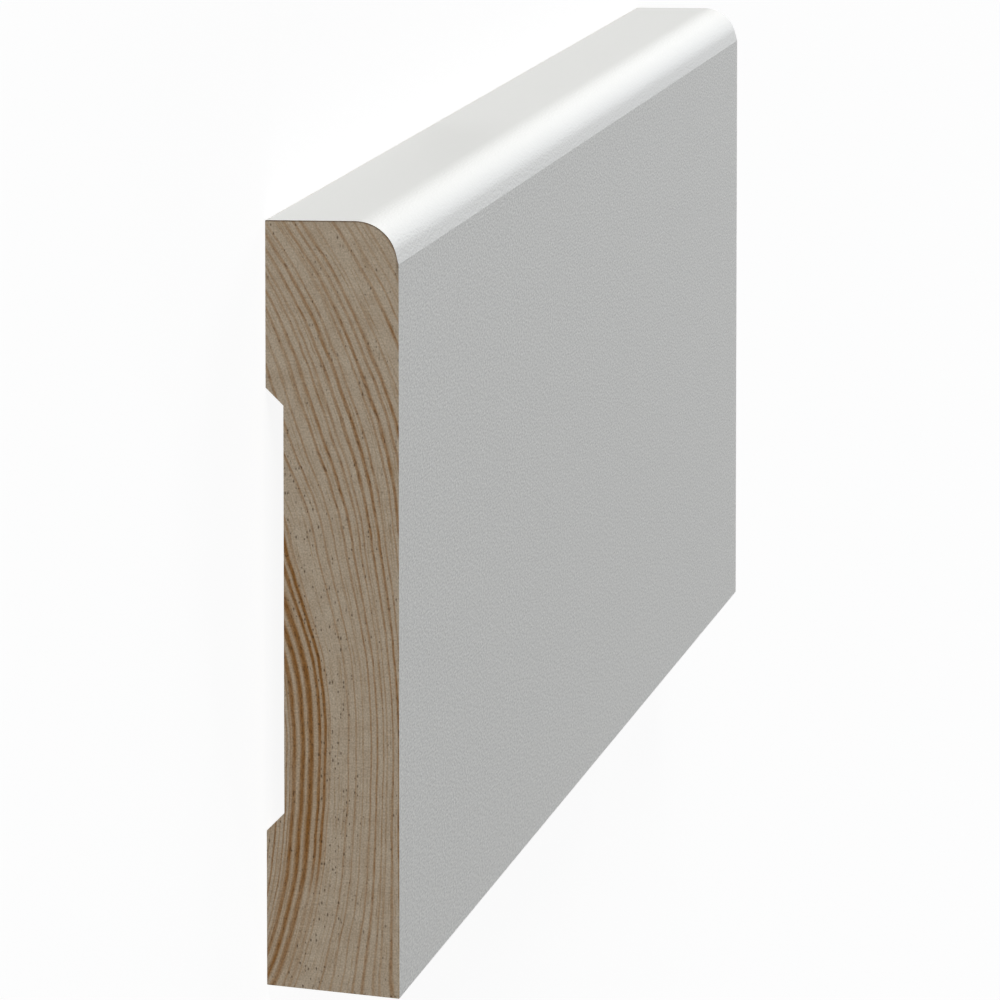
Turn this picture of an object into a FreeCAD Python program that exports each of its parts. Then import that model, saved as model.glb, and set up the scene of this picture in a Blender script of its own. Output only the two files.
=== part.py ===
import FreeCAD, Part
import math
import os

# A length of painted skirting board, machined from one piece of pine.
# It lies on its back. X runs across the width, from the rounded top edge on the -X side
# to the foot on the +X side. Y runs along the grain. Z runs through the thickness, from
# the relieved back at zero up to the painted face.
# All sizes are in millimetres and degrees.

# Outer sizes of the moulding
board_length = 300.0
face_height = 70.0
thickness = 12.0

# Rounded arris between the top edge and the face. The round runs smoothly out of the top
# edge, and runs out in a short flat that meets the face at a faint crease.
arris_radius = 3.8
crease_angle = 14.0
run_out = 1.0

# The foot is cut back under the face, so that the face's lower edge closes on the floor
foot_undercut_angle = 5.0

# Shallow relief along the back, between the two lands that bear on the wall
upper_land = 15.0
lower_land = 14.0
relief_depth = 1.6
relief_flank_angle = 45.0

# Places worked out from those sizes
foot_undercut = thickness * math.tan(math.radians(foot_undercut_angle))
flank_run = relief_depth / math.tan(math.radians(relief_flank_angle))
top_x = -face_height / 2
face_foot_x = face_height / 2
back_foot_x = face_foot_x - foot_undercut
relief_top_x = top_x + upper_land
relief_foot_x = back_foot_x - lower_land
crease_turn = math.radians(crease_angle)
round_sweep = 90.0 - crease_angle
round_end_z = thickness - run_out * math.sin(crease_turn)
round_centre_x = top_x + arris_radius
round_centre_z = round_end_z - arris_radius * math.cos(crease_turn)
crease_x = round_centre_x - arris_radius * math.sin(crease_turn) + run_out * math.cos(crease_turn)
near_y = -board_length / 2


def section_point(x, z):
    """A point of the section, in the plane of the near sawn end."""
    return FreeCAD.Vector(x, near_y, z)


def on_round(angle):
    """A point of the rounded arris, by its angle from the top edge."""
    turn = math.radians(angle)
    return section_point(
        round_centre_x - arris_radius * math.cos(turn),
        round_centre_z + arris_radius * math.sin(turn),
    )


def rounded_arris():
    """The arc from the top edge to the run-out."""
    return Part.Arc(on_round(0), on_round(round_sweep / 2), on_round(round_sweep)).toShape()


def straight_edges():
    """Run-out, face, foot, lower land, relief, upper land and top edge, back to the arc's start."""
    corners = [
        on_round(round_sweep),
        section_point(crease_x, thickness),
        section_point(face_foot_x, thickness),
        section_point(back_foot_x, 0),
        section_point(relief_foot_x, 0),
        section_point(relief_foot_x - flank_run, relief_depth),
        section_point(relief_top_x + flank_run, relief_depth),
        section_point(relief_top_x, 0),
        section_point(top_x, 0),
        on_round(0),
    ]
    return [Part.makeLine(a, b) for a, b in zip(corners, corners[1:])]


def skirting_board():
    """The section run along the grain, with both ends sawn square."""
    outline = Part.Wire([rounded_arris()] + straight_edges())
    return Part.Face(outline).extrude(FreeCAD.Vector(0, board_length, 0))


os.makedirs("parts", exist_ok=True)
board = skirting_board()
board.exportStep("parts/skirting_board.step")
print(f"skirting_board: {board.Volume / 1000:.1f} cm3, {board.BoundBox}")
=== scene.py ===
# %% [markdown]
# # A length of primed skirting board
#
# The real object is one piece of pine. A moulder planes it to its section, a spray line
# primes the face, the rounded arris, the top edge and the foot in white, and a saw cuts it
# square. So there is one piece to build here, with three finishes on it: primer, sawn end
# grain and planed back. The end grain is what the eye goes to, so most of the work is there.

# %% Open the frame
import math

import bpy
from mathutils import Matrix, Vector


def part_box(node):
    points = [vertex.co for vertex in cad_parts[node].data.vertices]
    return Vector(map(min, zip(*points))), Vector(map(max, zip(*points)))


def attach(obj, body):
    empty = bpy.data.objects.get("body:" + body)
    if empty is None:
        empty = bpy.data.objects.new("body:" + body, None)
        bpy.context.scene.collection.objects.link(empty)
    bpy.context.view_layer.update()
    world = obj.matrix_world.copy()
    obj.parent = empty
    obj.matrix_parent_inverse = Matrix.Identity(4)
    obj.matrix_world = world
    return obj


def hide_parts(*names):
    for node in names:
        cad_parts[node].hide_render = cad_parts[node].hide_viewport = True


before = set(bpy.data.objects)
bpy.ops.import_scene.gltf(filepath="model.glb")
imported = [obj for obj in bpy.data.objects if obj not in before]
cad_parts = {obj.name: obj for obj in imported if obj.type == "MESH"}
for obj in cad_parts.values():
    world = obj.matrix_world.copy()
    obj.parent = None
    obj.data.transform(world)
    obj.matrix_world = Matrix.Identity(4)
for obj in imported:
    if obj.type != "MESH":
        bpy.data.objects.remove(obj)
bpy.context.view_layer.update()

MM = 0.001
low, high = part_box("skirting_board")
print("board in the frame, mm:", [round(side / MM, 2) for side in high - low])

# %% [markdown]
# ## Two helpers
#
# Paint and timber colours are known as they look on a screen, and a shader wants them
# linear, so one function turns a hex colour over. Node trees are long to write by hand, so
# one function adds any node, sets its properties and fills its inputs with values or links.


# %% Helpers for colours and nodes
def colour(hex_code):
    """A linear RGBA colour from an sRGB hex code."""
    channels = [int(hex_code[at:at + 2], 16) / 255 for at in (1, 3, 5)]
    linear = [c / 12.92 if c <= 0.04045 else ((c + 0.055) / 1.055) ** 2.4 for c in channels]
    return (*linear, 1)


def add(tree, kind, inputs=None, out=0, **settings):
    """Adds a node, and gives back its output. Inputs are named or numbered values or sockets."""
    node = tree.nodes.new(kind)
    for name, value in settings.items():
        setattr(node, name, value)
    for name, value in (inputs or {}).items():
        if isinstance(value, bpy.types.NodeSocket):
            tree.links.new(value, node.inputs[name])
        else:
            node.inputs[name].default_value = value
    return node.outputs[out] if len(node.outputs) else node


# %% [markdown]
# ## The section
#
# A moulding is a drawing of its section, pushed along its length. The drawing needs only
# nine corners and how much each is rounded: 3.8 mm at the arris, nothing at the faint crease
# where the round runs out into the face, and a fine easing where the cutters leave a sharp
# corner. The outer sizes come from the frame, so the drawing always fits it.

# %% Draw the corners of the section
arris_radius = 3.8 * MM
run_out = 1 * MM
crease_angle = math.radians(14)
undercut_angle = math.radians(5)
upper_land = 15 * MM
lower_land = 14 * MM
relief_depth = 1.6 * MM
easing = 0.06 * MM
arris_steps = 24
easing_steps = 2

top, foot = low.x, high.x
back, face = low.z, high.z
sweep = math.pi / 2 - crease_angle
round_centre = face - run_out * math.sin(crease_angle) - arris_radius * math.cos(crease_angle)
arris_corner = round_centre + arris_radius * math.tan(sweep / 2)
crease = top + arris_radius * (1 - math.sin(crease_angle)) + run_out * math.cos(crease_angle)
back_foot = foot - (face - back) * math.tan(undercut_angle)
relief_foot = back_foot - lower_land
relief_top = top + upper_land
relief = back + relief_depth

section = [
    (top, back, easing, easing_steps),
    (top, arris_corner, arris_radius, arris_steps),
    (crease, face, 0, 0),
    (foot, face, easing, easing_steps),
    (back_foot, back, easing, easing_steps),
    (relief_foot, back, easing, easing_steps),
    (relief_foot - relief_depth, relief, easing, easing_steps),
    (relief_top + relief_depth, relief, easing, easing_steps),
    (relief_top, back, easing, easing_steps),
]
print("section corners:", len(section))

# %% [markdown]
# ## The board
#
# The drawing could be filled and extruded in mesh code. Geometry Nodes do the same with
# each size as a named input: the corners are filleted, the section runs along a line as
# long as the board, and the faces get their finish by the way they point. The ends look
# along the grain, the back lies low, and all the rest is primed.

# %% Make the drawing an object
# A swept section hangs with its own Y axis downwards, so heights are drawn as minus Y.
drawing = bpy.data.meshes.new("board")
drawing.from_pydata(
    [(x, -z, 0) for x, z, _, _ in section],
    [(i, (i + 1) % len(section)) for i in range(len(section))],
    [],
)
rounding = drawing.attributes.new("rounding", "FLOAT", "POINT")
rounding.data.foreach_set("value", [radius for _, _, radius, _ in section])
steps = drawing.attributes.new("steps", "INT", "POINT")
steps.data.foreach_set("value", [count for _, _, _, count in section])
board = bpy.data.objects.new("board", drawing)
bpy.context.scene.collection.objects.link(board)

primer = bpy.data.materials.new("white_primer_sprayed_on_planed_pine")
end_grain = bpy.data.materials.new("pine_end_grain_as_sawn")
planed_back = bpy.data.materials.new("pine_back_as_planed")


# %% Grow the board from its drawing
def board_tree():
    """Rounds the corners of a drawn section and runs it along the board's length."""
    tree = bpy.data.node_groups.new("board_from_section", "GeometryNodeTree")
    tree.interface.new_socket("Section", in_out="INPUT", socket_type="NodeSocketGeometry")
    for name in ("Length", "Back below", "Sharp above"):
        tree.interface.new_socket(name, in_out="INPUT", socket_type="NodeSocketFloat")
    tree.interface.new_socket("Board", in_out="OUTPUT", socket_type="NodeSocketGeometry")
    given = tree.nodes.new("NodeGroupInput").outputs

    outline = add(tree, "GeometryNodeMeshToCurve", {"Mesh": given["Section"]})
    outline = add(tree, "GeometryNodeFilletCurve", {
        "Curve": outline,
        "Count": add(tree, "GeometryNodeInputNamedAttribute", {"Name": "steps"}, data_type="INT"),
        "Radius": add(tree, "GeometryNodeInputNamedAttribute", {"Name": "rounding"}, data_type="FLOAT"),
        "Limit Radius": True,
    }, mode="POLY")
    half = add(tree, "ShaderNodeMath", {0: given["Length"], 1: 0.5}, operation="MULTIPLY")
    minus_half = add(tree, "ShaderNodeMath", {0: given["Length"], 1: -0.5}, operation="MULTIPLY")
    path = add(tree, "GeometryNodeCurvePrimitiveLine", {
        "Start": add(tree, "ShaderNodeCombineXYZ", {"Y": minus_half}),
        "End": add(tree, "ShaderNodeCombineXYZ", {"Y": half}),
    })
    swept = add(tree, "GeometryNodeCurveToMesh", {
        "Curve": path, "Profile Curve": outline, "Fill Caps": True,
    })
    merged = add(tree, "GeometryNodeMergeByDistance", {"Geometry": swept, "Distance": 0.001 * MM})

    smooth = add(tree, "GeometryNodeSetShadeSmooth", {"Geometry": merged}, domain="FACE")
    sharp = add(tree, "FunctionNodeCompare", {
        "A": add(tree, "GeometryNodeInputMeshEdgeAngle"), "B": given["Sharp above"],
    }, operation="GREATER_THAN")
    creased = add(tree, "GeometryNodeSetShadeSmooth", {
        "Geometry": smooth, "Selection": sharp, "Shade Smooth": False,
    }, domain="EDGE")
    whole = add(tree, "GeometryNodeRealizeInstances", {"Geometry": creased})

    facing = add(tree, "ShaderNodeSeparateXYZ", {0: add(tree, "GeometryNodeInputNormal")}, out="Y")
    facing = add(tree, "ShaderNodeMath", {0: facing}, operation="ABSOLUTE")
    at_end = add(tree, "FunctionNodeCompare", {"A": facing, "B": 0.5}, operation="GREATER_THAN")
    level = add(tree, "ShaderNodeSeparateXYZ", {0: add(tree, "GeometryNodeInputPosition")}, out="Z")
    at_back = add(tree, "FunctionNodeCompare", {"A": level, "B": given["Back below"]},
                  operation="LESS_THAN")
    finished = add(tree, "GeometryNodeSetMaterial", {"Geometry": whole, "Material": primer})
    finished = add(tree, "GeometryNodeSetMaterial", {
        "Geometry": finished, "Selection": at_back, "Material": planed_back,
    })
    finished = add(tree, "GeometryNodeSetMaterial", {
        "Geometry": finished, "Selection": at_end, "Material": end_grain,
    })
    add(tree, "NodeGroupOutput", {"Board": finished})
    return tree


maker = board.modifiers.new("board_from_section", "NODES")
maker.node_group = board_tree()
chosen = {
    "Length": high.y - low.y,
    "Back below": relief + easing,
    "Sharp above": math.radians(6),
}
for item in maker.node_group.interface.items_tree:
    if item.name in chosen:
        maker[item.identifier] = chosen[item.name]
grown = board.evaluated_get(bpy.context.evaluated_depsgraph_get())
board_mesh = bpy.data.meshes.new_from_object(grown)
board.modifiers.remove(maker)
board.data = board_mesh
print("board:", len(board_mesh.vertices), "points,", len(board_mesh.polygons), "faces")
assert max(abs(a - b) for a, b in zip(board.dimensions, high - low)) < 0.05 * MM
print("box, mm:", [round(side / MM, 2) for side in board.dimensions])

# %% [markdown]
# ## A map for the finishes
#
# The shaders below need no map, because they read places on the board itself. A map still
# matters when the finish is baked into one picture for other programs. The board is
# unrolled the way a joiner would mark it out: each sawn end in a strip of its own, then the
# primed side and the back as two wraps. The ends get the finest scale, as they hold the
# finest pattern.


# %% Unroll the board on its map
def girth_of(outline):
    """The distance round the section up to each of its points, and the whole way round."""
    distances = [0]
    for at in range(len(outline)):
        step = outline[(at + 1) % len(outline)] - outline[at]
        distances.append(distances[-1] + step.length)
    return distances


def unroll(mesh, strips, margin):
    """Lays each finish in its own strip of a map, with the board's length running across."""
    near = next(f for f in mesh.polygons if f.normal.y < -0.5)
    points = [mesh.vertices[i].co.copy() for i in near.vertices]
    first = min(range(len(points)), key=lambda i: (points[i] - Vector((top, low.y, back))).length)
    points = points[first:] + points[:first]
    girth = girth_of(points)
    place_of = {(round(p.x, 7), round(p.z, 7)): i for i, p in enumerate(points)}
    last = len(points) - 1

    def across(face_points):
        """Where each corner of a long face lies round the section."""
        found = [place_of[(round(p.x, 7), round(p.z, 7))] for p in face_points]
        if 0 in found and last in found:
            found = [i if i else last + 1 for i in found]
        return [girth[i] for i in found]

    drawn = []
    for polygon in mesh.polygons:
        corners = [mesh.vertices[i].co for i in polygon.vertices]
        if abs(polygon.normal.y) > 0.5:
            strip = "near end" if polygon.normal.y < 0 else "far end"
            pairs = [(p.x, p.z) for p in corners]
        else:
            strip = "back" if polygon.material_index == 1 else "primed"
            pairs = [(p.y, g) for p, g in zip(corners, across(corners))]
        drawn.append((strip, polygon.loop_indices, pairs))

    layer = mesh.uv_layers.new(name="OFBake")
    for strip, (bottom, ceiling) in strips.items():
        pairs = [pair for name, _, many in drawn if name == strip for pair in many]
        ends = [(min(axis), max(axis)) for axis in zip(*pairs)]
        for name, loops, many in drawn:
            if name != strip:
                continue
            for loop, (u, v) in zip(loops, many):
                u = (u - ends[0][0]) / (ends[0][1] - ends[0][0])
                v = (v - ends[1][0]) / (ends[1][1] - ends[1][0])
                layer.data[loop].uv = (
                    margin + u * (1 - 2 * margin),
                    bottom + margin / 2 + v * (ceiling - bottom - margin),
                )


map_margin = 0.012
map_strips = {
    "near end": (0, 0.18),
    "far end": (0.18, 0.36),
    "primed": (0.36, 0.67),
    "back": (0.67, 1),
}
unroll(board_mesh, map_strips, map_margin)
print("map strips:", list(map_strips))

# %% [markdown]
# ## How the pine grew
#
# Pine shows its years as bands: pale early wood, then a line of brown latewood. All the wood
# on this board comes from one pattern in space, so that a line on the sawn end carries on
# along the back, as in real timber.
#
# A round pith with even rings would be quick, and would look like nothing on this board. Its
# growth lines lean at the top, stand upright in the middle and lean back at the foot. So the
# pattern keeps a curve for how far outwards the wood lies at the back, another for the face,
# and a third for how much it bulges half way between them.

# %% Sizes of the growth pattern
# Each pair is a depth below the top edge and a distance outwards, both in mm.
outward_at_back = [
    (0, 11.9), (10, 8.5), (20, 6.5), (25, 5), (28, 4.1), (30, 3.8), (35, 2.4), (40, 0.8), (45, 0.1),
    (50, 0), (55, 0.2), (60, 0.8), (65, 2.1), (70, 4),
]
outward_at_face = [
    (0, 18.4), (10, 15.6), (20, 13.5), (30, 12.6), (40, 11.7), (46, 11.4), (55, 11.4), (70, 11.2),
]
bulge_between = [(0, 0.1), (15, 0), (40, 0), (50, 0.2), (60, 0.5), (66, 0.7), (70, 0.5)]

# Each line of latewood has its place, in mm outwards, and how dark it is. Five are broad, with
# their own width in mm. The thin ones are broader where they are darker.
broad_lines = [(2.5, 0.85, 0.5), (3.25, 0.9, 0.55), (4.0, 1.0, 0.6), (4.73, 0.9, 0.34), (5.2, 0.95, 0.34)]
thin_lines = [
    (0.5, 0.3), (1.0, 0.6), (1.4, 0.3), (1.8, 0.4), (2.15, 0.3), (5.6, 0.2), (7.2, 0.32), (7.85, 0.3),
    (8.45, 0.2), (9.1, 0.42), (9.6, 0.52), (10.1, 0.3), (10.4, 0.24), (10.9, 0.5), (11.4, 0.7),
    (11.8, 0.3), (12.45, 0.25), (12.8, 0.62), (13.3, 0.45), (13.7, 0.65), (14.3, 0.15), (15.3, 0.6),
    (15.85, 0.25), (16.3, 0.15), (16.8, 0.28), (17.4, 0.2), (18.2, 0.4), (19.1, 0.25), (20, 0.5),
    (21, 0.3), (22, 0.45),
]
thin_width = 0.11
width_with_darkness = 0.2
section_height = (foot - top) / MM
section_depth = (face - back) / MM
farthest_out = 24
curve_parts = 4
taper = 2.6
wander = 1.5
wobble = 0.1
pale_middle = 6.2
print("latewood lines:", len(broad_lines) + len(thin_lines))


# %% Curves for the growth pattern
def draw_curve(socket, points, handles):
    """Draws a Float Curve through points from 0 to 1."""
    mapping = socket.node.mapping
    mapping.extend = "HORIZONTAL"
    line = mapping.curves[0].points
    for x, y in points[1:-1]:
        line.new(x, y)
    line[0].location, line[-1].location = points[0], points[-1]
    for point, place in zip(line, points):
        point.location = place
        point.handle_type = handles
    mapping.update()


def latewood_profile(start, end):
    """The darkness of the latewood lines between two distances outwards, from 0 to 1."""
    thin = [(place, dark, thin_width + width_with_darkness * dark) for place, dark in thin_lines]
    lines = sorted(broad_lines + thin)
    points = [(0, 0)]
    for place, dark, width in lines:
        for offset, height in ((-0.6, 0), (-0.2, 0.85), (0.05, 1), (0.4, 0)):
            x = (place + offset * width - start) / (end - start)
            if points[-1][0] + 0.002 < x < 0.998:
                points.append((x, dark * height))
    return points + [(1, 0)]


# %% Build the growth pattern
def pine_growth():
    """A shader group that says, for a place in the board, what the pine looks like there."""
    tree = bpy.data.node_groups.new("pine_growth", "ShaderNodeTree")
    names = ("Latewood", "Amber", "Dashes", "Strands", "Canals", "Rays", "Speckle", "Tone", "Rim")
    for name in names:
        tree.interface.new_socket(name, in_out="OUTPUT", socket_type="NodeSocketFloat")

    # Places in mm: down from the top edge, along from the near end, out from the back
    place = add(tree, "ShaderNodeTexCoord", out="Object")
    place = add(tree, "ShaderNodeVectorMath", {
        0: place, 1: (1 / MM, 1 / MM, 1 / MM), 2: (-top / MM, -low.y / MM, -back / MM),
    }, operation="MULTIPLY_ADD")
    axes = tree.nodes.new("ShaderNodeSeparateXYZ")
    tree.links.new(place, axes.inputs[0])
    down, along, out = axes.outputs

    # The three curves, blended through the thickness
    down_share = add(tree, "ShaderNodeMath", {0: down, 1: section_height}, operation="DIVIDE")
    levels = []
    for points in (outward_at_back, outward_at_face, bulge_between):
        line = add(tree, "ShaderNodeFloatCurve", {"Value": down_share})
        draw_curve(line, [(x / section_height, y / farthest_out) for x, y in points], "AUTO")
        levels.append(line)
    depth = add(tree, "ShaderNodeMath", {0: out, 1: section_depth}, operation="DIVIDE")
    outward = add(tree, "ShaderNodeMix", {0: depth, 2: levels[0], 3: levels[1]}, clamp_factor=False)
    rest = add(tree, "ShaderNodeMath", {0: 1, 1: depth}, operation="SUBTRACT")
    between = add(tree, "ShaderNodeMath", {0: depth, 1: rest}, operation="MULTIPLY")
    between = add(tree, "ShaderNodeMath", {0: between, 1: 4}, operation="MULTIPLY")
    outward = add(tree, "ShaderNodeMath", {0: between, 1: levels[2], 2: outward},
                  operation="MULTIPLY_ADD")

    # Along the trunk the rings taper and wander, more the farther from the near end
    run = add(tree, "ShaderNodeMath", {0: along, 1: (high.y - low.y) / MM}, operation="DIVIDE")
    slow = add(tree, "ShaderNodeVectorMath", {0: place, 1: (0.035, 0.014, 0.06)}, operation="MULTIPLY")
    slow = add(tree, "ShaderNodeTexNoise", {"Vector": slow, "Scale": 1, "Detail": 1})
    slow = add(tree, "ShaderNodeMapRange", {
        "Value": slow, "To Min": taper - wander, "To Max": taper + wander,
    })
    drift = add(tree, "ShaderNodeMath", {0: slow, 1: run}, operation="MULTIPLY")
    ring = add(tree, "ShaderNodeMath", {0: outward, 1: farthest_out, 2: drift}, operation="MULTIPLY_ADD")

    # Each line wobbles a little
    drawn_out = add(tree, "ShaderNodeVectorMath", {0: place, 1: (1, 0.03, 1)}, operation="MULTIPLY")
    sway = add(tree, "ShaderNodeTexNoise", {"Vector": drawn_out, "Scale": 0.3, "Detail": 1})
    sway = add(tree, "ShaderNodeMapRange", {"Value": sway, "To Min": -wobble, "To Max": wobble})
    ring = add(tree, "ShaderNodeMath", {0: ring, 1: sway})

    # Latewood, in parts because a curve is kept in only 256 steps
    span = farthest_out / curve_parts
    late = 0
    for part in range(curve_parts):
        share = add(tree, "ShaderNodeMapRange", {
            "Value": ring, "From Min": part * span, "From Max": (part + 1) * span,
        })
        line = add(tree, "ShaderNodeFloatCurve", {"Value": share})
        draw_curve(line, latewood_profile(part * span, (part + 1) * span), "VECTOR")
        late = add(tree, "ShaderNodeMath", {0: late, 1: line})

    # Noises that follow the lines: how fine they are across them, and down them
    on_lines = add(tree, "ShaderNodeSeparateXYZ", {0: drawn_out}, out="Y")
    on_lines = add(tree, "ShaderNodeCombineXYZ", {"X": ring, "Y": on_lines, "Z": down})
    grains = {
        "strength": (1.3, 1, 0.09),
        "breaks": (5, 1, 0.8),
        "dashes": (7, 1, 1.6),
        "strands": (8, 1, 0.16),
        "rays": (0.35, 1, 4),
    }
    for name, fineness in grains.items():
        grain = add(tree, "ShaderNodeVectorMath", {0: on_lines, 1: fineness}, operation="MULTIPLY")
        grain = add(tree, "ShaderNodeTexNoise", {"Vector": grain, "Scale": 1, "Detail": 2})
        grains[name] = add(tree, "ShaderNodeMapRange", {
            "Value": grain, "From Min": 0.32, "From Max": 0.68,
        })
    steady = add(tree, "ShaderNodeMath", {0: grains["strength"], 1: 0.5, 2: 0.7}, operation="MULTIPLY_ADD")
    late = add(tree, "ShaderNodeMath", {0: late, 1: steady}, operation="MULTIPLY")

    # The lines are broader in the upper part, and paler towards the top edge
    breadth = add(tree, "ShaderNodeMapRange", {
        "Value": down, "From Min": 24, "From Max": 34, "To Min": 0.75, "To Max": 1,
    })
    late = add(tree, "ShaderNodeMath", {0: late, 1: breadth}, operation="POWER")
    full = add(tree, "ShaderNodeMapRange", {
        "Value": down, "From Min": 4, "From Max": 20, "To Min": 0.5, "To Max": 1,
    })
    late = add(tree, "ShaderNodeMath", {0: late, 1: full}, operation="MULTIPLY")

    # The broad lines grow fainter towards the foot, and the outer ones die out there
    in_band = add(tree, "ShaderNodeMapRange", {
        "Value": ring, "From Min": 5.4, "From Max": 5.8, "To Min": 1, "To Max": 0,
    })
    dying = add(tree, "ShaderNodeMapRange", {
        "Value": down, "From Min": 56, "From Max": 61, "To Max": 0.8,
    })
    outer = add(tree, "ShaderNodeMapRange", {
        "Value": ring, "From Min": 3.5, "From Max": 4.6, "To Min": 0.3,
    })
    dying = add(tree, "ShaderNodeMath", {0: dying, 1: outer}, operation="MULTIPLY")
    dying = add(tree, "ShaderNodeMath", {0: dying, 1: in_band}, operation="MULTIPLY")
    kept = add(tree, "ShaderNodeMath", {0: 1, 1: dying}, operation="SUBTRACT")
    late = add(tree, "ShaderNodeMath", {0: late, 1: kept}, operation="MULTIPLY")

    # Amber: resin colours the wood on both sides of a line, and between the broad lines
    amber = add(tree, "ShaderNodeMath", {0: late, 1: 0.6}, operation="POWER")
    soaked = add(tree, "ShaderNodeMapRange", {
        "Value": ring, "From Min": 1.9, "From Max": 2.7, "To Max": 0.3,
    })
    soaked = add(tree, "ShaderNodeMath", {0: soaked, 1: kept}, operation="MULTIPLY")
    amber = add(tree, "ShaderNodeMath", {0: soaked, 1: in_band, 2: amber}, operation="MULTIPLY_ADD")

    # The thin lines are broken into short strokes, and the broad ones only a little
    palest = add(tree, "ShaderNodeMapRange", {"Value": in_band, "To Min": 0.3, "To Max": 0.65})
    broken = add(tree, "ShaderNodeMapRange", {
        "Value": grains["breaks"], "To Min": palest, "To Max": 1.3,
    })
    late = add(tree, "ShaderNodeMath", {0: late, 1: broken}, operation="MULTIPLY", use_clamp=True)

    # Dashes: the darkest cells, in short strokes on the lines
    dashes = add(tree, "ShaderNodeMapRange", {"Value": grains["dashes"], "From Min": 0.6})
    on_line = add(tree, "ShaderNodeMapRange", {"Value": late, "From Max": 0.6})
    dashes = add(tree, "ShaderNodeMath", {0: dashes, 1: on_line}, operation="MULTIPLY")

    # Strands: faint thin lines between the others
    strands = add(tree, "ShaderNodeMapRange", {"Value": grains["strands"], "From Min": 0.5})
    strands = add(tree, "ShaderNodeMath", {0: strands, 1: broken}, operation="MULTIPLY")

    # Resin canals: tubes along the grain, cut across as dark dots, most of them in pale wood
    dots = add(tree, "ShaderNodeCombineXYZ", {
        "X": out, "Y": add(tree, "ShaderNodeMath", {0: down, 1: 0.5}, operation="MULTIPLY"),
    })
    dots = add(tree, "ShaderNodeTexVoronoi", {"Vector": dots, "Scale": 4}, voronoi_dimensions="2D")
    chance = add(tree, "ShaderNodeSeparateColor", {0: dots.node.outputs["Color"]})
    size = add(tree, "ShaderNodeMath", {0: chance.node.outputs["Green"], 1: 0.26, 2: 0.2},
               operation="MULTIPLY_ADD")
    dots = add(tree, "ShaderNodeMapRange", {
        "Value": dots, "From Min": 0.1, "From Max": size, "To Min": 1, "To Max": 0,
    })
    paleness = add(tree, "ShaderNodeMath", {0: ring, 1: pale_middle}, operation="SUBTRACT")
    paleness = add(tree, "ShaderNodeMath", {0: paleness}, operation="ABSOLUTE")
    paleness = add(tree, "ShaderNodeMapRange", {
        "Value": paleness, "From Min": 0.7, "From Max": 2.2, "To Min": 0.12, "To Max": 0,
    })
    chance = add(tree, "ShaderNodeMath", {0: chance, 1: paleness})
    chance = add(tree, "ShaderNodeMapRange", {"Value": chance, "From Min": 0.93, "From Max": 1})
    canals = add(tree, "ShaderNodeMath", {0: dots, 1: chance}, operation="MULTIPLY")

    # Speckle: cut fibres. Tone: soft patches, warmer and greyer.
    speckle = add(tree, "ShaderNodeTexNoise", {"Vector": drawn_out, "Scale": 6, "Detail": 1})
    speckle = add(tree, "ShaderNodeMapRange", {"Value": speckle, "From Min": 0.25, "From Max": 0.75})
    tone = add(tree, "ShaderNodeTexNoise", {"Vector": drawn_out, "Scale": 0.6, "Detail": 3})
    tone = add(tree, "ShaderNodeMapRange", {"Value": tone, "From Min": 0.3, "From Max": 0.7})

    # Rim: wood crushed by the cutters round the arris, and torn specks along the foot
    corner = arris_radius / MM
    inside = add(tree, "ShaderNodeVectorMath", {
        0: add(tree, "ShaderNodeCombineXYZ", {
            "X": add(tree, "ShaderNodeMath", {0: corner, 1: down}, operation="SUBTRACT"),
            "Z": add(tree, "ShaderNodeMath", {0: out, 1: (round_centre - back) / MM}, operation="SUBTRACT"),
        }),
    }, operation="MAXIMUM")
    inside = add(tree, "ShaderNodeVectorMath", {0: inside}, out="Value", operation="LENGTH")
    rim = add(tree, "ShaderNodeMapRange", {
        "Value": inside, "From Min": corner - 0.16, "From Max": corner - 0.04,
    })
    near_top = add(tree, "ShaderNodeMapRange", {
        "Value": down, "From Min": 2, "From Max": 6, "To Min": 1, "To Max": 0,
    })
    rim = add(tree, "ShaderNodeMath", {0: rim, 1: near_top}, operation="MULTIPLY")
    past_foot = add(tree, "ShaderNodeMath", {
        0: out, 1: -math.tan(undercut_angle), 2: down,
    }, operation="MULTIPLY_ADD")
    torn = add(tree, "ShaderNodeMapRange", {
        "Value": past_foot, "From Min": (back_foot - top) / MM - 0.4, "From Max": (back_foot - top) / MM - 0.1,
    })
    specks = add(tree, "ShaderNodeMapRange", {"Value": grains["dashes"], "From Min": 0.75})
    torn = add(tree, "ShaderNodeMath", {0: torn, 1: specks}, operation="MULTIPLY")
    rim = add(tree, "ShaderNodeMath", {0: rim, 1: torn}, operation="MAXIMUM")

    results = (late, amber, dashes, strands, canals, grains["rays"], speckle, tone, rim)
    add(tree, "NodeGroupOutput", dict(zip(names, results)))
    return tree


growth = pine_growth()
print("growth pattern:", len(growth.nodes), "nodes")


# %% [markdown]
# ## Sawn end grain
#
# The saw cuts the fibres across, so the end drinks light: it is the darkest and dullest
# face of the board. Over a greyish tan go layers of colour, each where the growth pattern
# says: faint strands, amber where resin soaks the wood, brown latewood, dark dashes, resin
# canals and the crushed rim.

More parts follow.
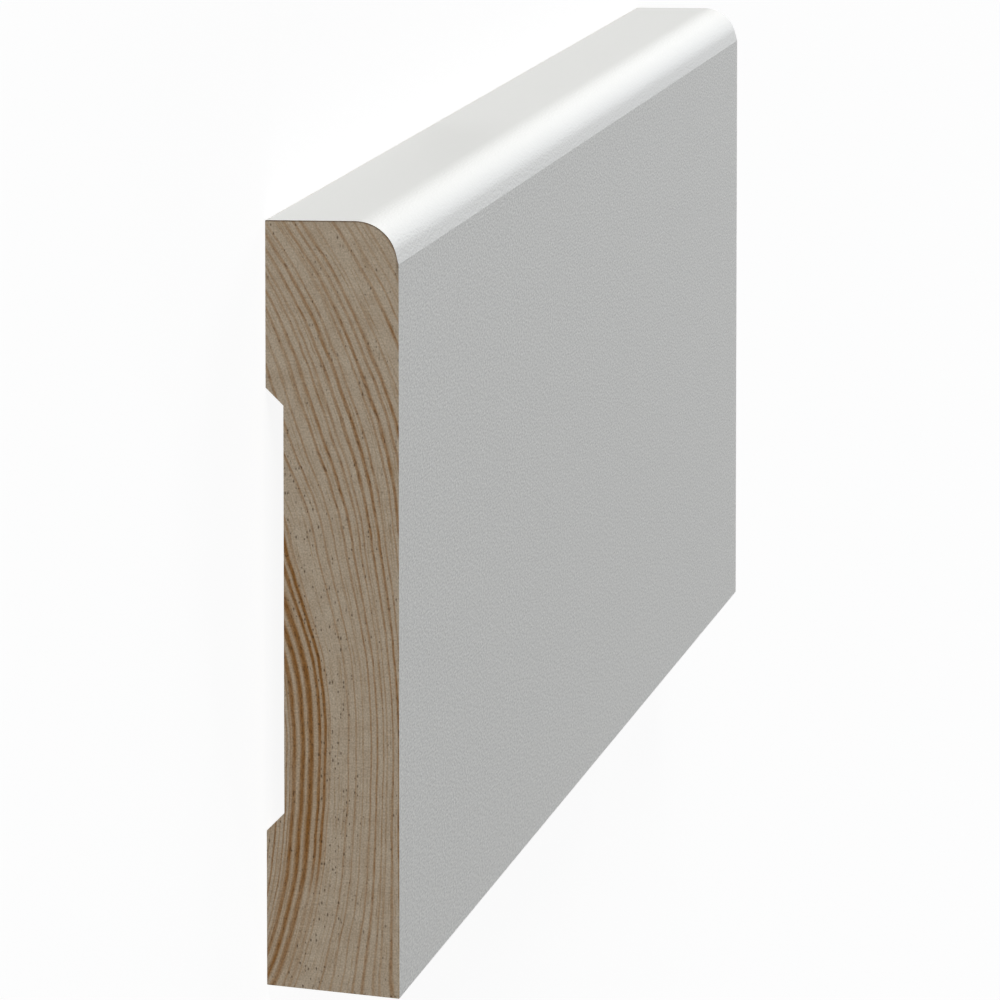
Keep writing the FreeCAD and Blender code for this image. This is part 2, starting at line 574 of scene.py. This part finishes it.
# %% Pine end grain, as sawn
def wood_material(material, base, layers, speckle, rays, roughness):
    """Pine from the growth pattern. Each layer is a growth output, a colour and how much of it."""
    material.use_nodes = True
    tree = material.node_tree
    tree.nodes.clear()
    wood = tree.nodes.new("ShaderNodeGroup")
    wood.node_tree = growth
    seen = wood.outputs

    shade = colour(base)
    for output, layer_colour, amount in layers:
        cover = add(tree, "ShaderNodeMath", {0: seen[output], 1: amount},
                    operation="MULTIPLY", use_clamp=True)
        shade = add(tree, "ShaderNodeMix", {0: cover, 6: shade, 7: colour(layer_colour)}, out=2,
                    data_type="RGBA")
    for output, change in (("Speckle", speckle), ("Rays", rays)):
        lightness = add(tree, "ShaderNodeMapRange", {
            "Value": seen[output], "To Min": 1 - change, "To Max": 1 + change,
        })
        shade = add(tree, "ShaderNodeVectorMath", {0: shade, "Scale": lightness}, operation="SCALE")
    bump = add(tree, "ShaderNodeBump", {"Height": seen["Speckle"], "Strength": 1, "Distance": 0.01 * MM})
    shader = add(tree, "ShaderNodeBsdfPrincipled", {
        "Base Color": shade, "Normal": bump, "Roughness": roughness,
        "IOR": 1.5, "Specular IOR Level": 0.25,
    })
    add(tree, "ShaderNodeOutputMaterial", {"Surface": shader})


wood_material(end_grain, "#BEAF9A", [
    ("Tone", "#B3A28C", 1),
    ("Strands", "#876127", 0.4),
    ("Amber", "#9E7440", 0.65),
    ("Latewood", "#845A2A", 1),
    ("Dashes", "#4C3016", 0.7),
    ("Canals", "#46341F", 0.85),
    ("Rim", "#5A4126", 0.85),
], speckle=0.23, rays=0.03, roughness=0.85)

# %% [markdown]
# ## Planed back
#
# The back is never seen on the wall, so it is left bare. Planing leaves the long grain
# smooth and paler than the end.

# %% Pine back, as planed
wood_material(planed_back, "#D9C49E", [
    ("Tone", "#CDB488", 1),
    ("Strands", "#A87A45", 0.25),
    ("Latewood", "#A06E3A", 0.85),
    ("Canals", "#8A6236", 0.5),
], speckle=0.04, rays=0, roughness=0.6)

# %% [markdown]
# ## White primer
#
# Primer is a dull, slightly chalky coat, sprayed on planed wood. The fibres that it raises
# leave a fine stipple, drawn out along the board, and the top edge stays smooth. On the face,
# where the spray falls square, it also dries to a faint mottle. The real grain is finer than a
# pixel, so here it is drawn about 0.25 mm wide, as coarse as it needs to be to show.


# %% White primer, sprayed
def primer_material(material):
    """A dull white coat over raised fibres, smooth on the top edge and mottled on the face."""
    material.use_nodes = True
    tree = material.node_tree
    tree.nodes.clear()
    place = add(tree, "ShaderNodeTexCoord", out="Object")
    stretched = add(tree, "ShaderNodeVectorMath", {
        0: place, 1: (1 / MM, 0.25 / MM, 1 / MM),
    }, operation="MULTIPLY")
    stipple = add(tree, "ShaderNodeTexNoise", {"Vector": stretched, "Scale": 4, "Detail": 3})
    across = add(tree, "ShaderNodeSeparateXYZ", {0: place}, out="X")
    on_face = add(tree, "ShaderNodeMapRange", {
        "Value": across.node.outputs["Z"], "From Min": face - 0.05 * MM, "From Max": face,
    })
    off_top = add(tree, "ShaderNodeMapRange", {
        "Value": across, "From Min": top, "From Max": top + 0.1 * MM,
    })
    bump = add(tree, "ShaderNodeBump", {
        "Height": stipple, "Strength": off_top, "Distance": 0.048 * MM,
    })
    mottle = add(tree, "ShaderNodeTexNoise", {"Vector": stretched, "Scale": 5, "Detail": 1})
    mottle = add(tree, "ShaderNodeMapRange", {
        "Value": mottle, "From Min": 0.3, "From Max": 0.7, "To Min": -0.17, "To Max": 0.17,
    })
    mottle = add(tree, "ShaderNodeMath", {0: mottle, 1: on_face, 2: 1}, operation="MULTIPLY_ADD")
    white = add(tree, "ShaderNodeVectorMath", {0: colour("#E8E8E4")[:3], "Scale": mottle},
                operation="SCALE")
    shader = add(tree, "ShaderNodeBsdfPrincipled", {
        "Base Color": white, "Normal": bump, "Roughness": 0.65,
        "IOR": 1.5, "Specular IOR Level": 0.4,
    })
    add(tree, "ShaderNodeOutputMaterial", {"Surface": shader})


primer_material(primer)

# %% Let the board stand for the frame's node
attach(board, "root")
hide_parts("skirting_board")

# %% [markdown]
# ## The floor and the world
#
# The board lies on a pale floor in a white room. To the camera, and in gloss, floor and
# world are plain white. What lights the board is only a low ambient level, and the floor's
# own dull white keeps the shadow.

# %% Floor and world
floor_mesh = bpy.data.meshes.new("floor")
reach = 8
floor_mesh.from_pydata(
    [(-reach, -reach, 0), (reach, -reach, 0), (reach, reach, 0), (-reach, reach, 0)],
    [], [(0, 1, 2, 3)],
)
floor = bpy.data.objects.new("floor", floor_mesh)
floor.location.z = low.z - 0.01 * MM
bpy.context.scene.collection.objects.link(floor)


def seen_directly(tree):
    """One where the camera, gloss or glass looks, and nought for light that only bounces."""
    rays = tree.nodes.new("ShaderNodeLightPath").outputs
    seen = add(tree, "ShaderNodeMath", {0: rays["Is Camera Ray"], 1: rays["Is Glossy Ray"]},
               operation="MAXIMUM")
    return add(tree, "ShaderNodeMath", {0: seen, 1: rays["Is Transmission Ray"]}, operation="MAXIMUM")


floor_glow = 0.92
floor_paint = bpy.data.materials.new("pale_floor")
floor_paint.use_nodes = True
tree = floor_paint.node_tree
tree.nodes.clear()
glow = add(tree, "ShaderNodeMath", {0: seen_directly(tree), 1: floor_glow}, operation="MULTIPLY")
glow = add(tree, "ShaderNodeEmission", {"Strength": glow})
dull = add(tree, "ShaderNodeBsdfDiffuse", {"Color": (0.15, 0.15, 0.15, 1)})
add(tree, "ShaderNodeOutputMaterial", {"Surface": add(tree, "ShaderNodeAddShader", {0: glow, 1: dull})})
floor_mesh.materials.append(floor_paint)

ambient = 0.02
world = bpy.data.worlds.new("white_room")
bpy.context.scene.world = world
world.use_nodes = True
tree = world.node_tree
tree.nodes.clear()
strength = add(tree, "ShaderNodeMapRange", {"Value": seen_directly(tree), "To Min": ambient})
add(tree, "ShaderNodeOutputWorld", {"Surface": add(tree, "ShaderNodeBackground", {"Strength": strength})})

# %% [markdown]
# ## Soft boxes
#
# Each soft box is an area lamp aimed at the board. Its share is how brightly it would
# light a face turned straight to it, so shares of all the lamps can be weighed together.

# %% Soft boxes
lamp_distance = 6.0


def soft_box(name, azimuth, elevation, share, size, tint="#FFFFFF"):
    """An area lamp. Azimuth 0 is the near end's side and 90 the foot's side."""
    turn, rise = math.radians(azimuth), math.radians(elevation)
    way = Vector((math.sin(turn) * math.cos(rise), -math.cos(turn) * math.cos(rise), math.sin(rise)))
    lamp = bpy.data.lights.new(name, "AREA")
    lamp.shape = "DISK"
    lamp.size = size
    lamp.color = colour(tint)[:3]
    lamp.energy = share * (math.pi * lamp_distance) ** 2
    box = bpy.data.objects.new(name, lamp)
    box.location = way * lamp_distance
    box.rotation_euler = (-way).to_track_quat("-Z", "Y").to_euler()
    box.visible_camera = False
    bpy.context.scene.collection.objects.link(box)


soft_box("key", 315, 12, 0.83, 2.4)
soft_box("above_top_edge", 270, 40, 0.1, 2.4, "#F4F8FF")
soft_box("arris_gleam_high", 190, 18, 0.22, 1.2, "#F4F8FF")
soft_box("arris_gleam_low", 200, 8, 0.24, 1.2)
soft_box("foot", 90, 6, 0.37, 1)
soft_box("far_end", 135, 6, 0.37, 1)

# %% [markdown]
# ## The camera
#
# The photograph shows the board standing. Here it lies on its back, so the camera looks
# along it from the near end, a little above and beyond the top edge, and is rolled so that
# the top edge is up. A long lens far away keeps the section nearly square on.

# %% Camera
camera_place = Vector((-109.6, -1014.5, 129.3)) * MM
camera_aim = Vector((7.05, 0, 2.32)) * MM
camera = bpy.data.cameras.new("camera")
camera.lens = 354.2
camera.sensor_width = 36
camera.clip_start = 0.05
camera.clip_end = 30
view = (camera_aim - camera_place).normalized()
right = view.cross(Vector((-1, 0, 0))).normalized()
up = right.cross(view)
camera_object = bpy.data.objects.new("camera", camera)
camera_object.matrix_world = (
    Matrix.Translation(camera_place) @ Matrix((right, up, -view)).transposed().to_4x4()
)
bpy.context.scene.collection.objects.link(camera_object)
bpy.context.scene.camera = camera_object
bpy.context.scene.view_settings.view_transform = "Standard"
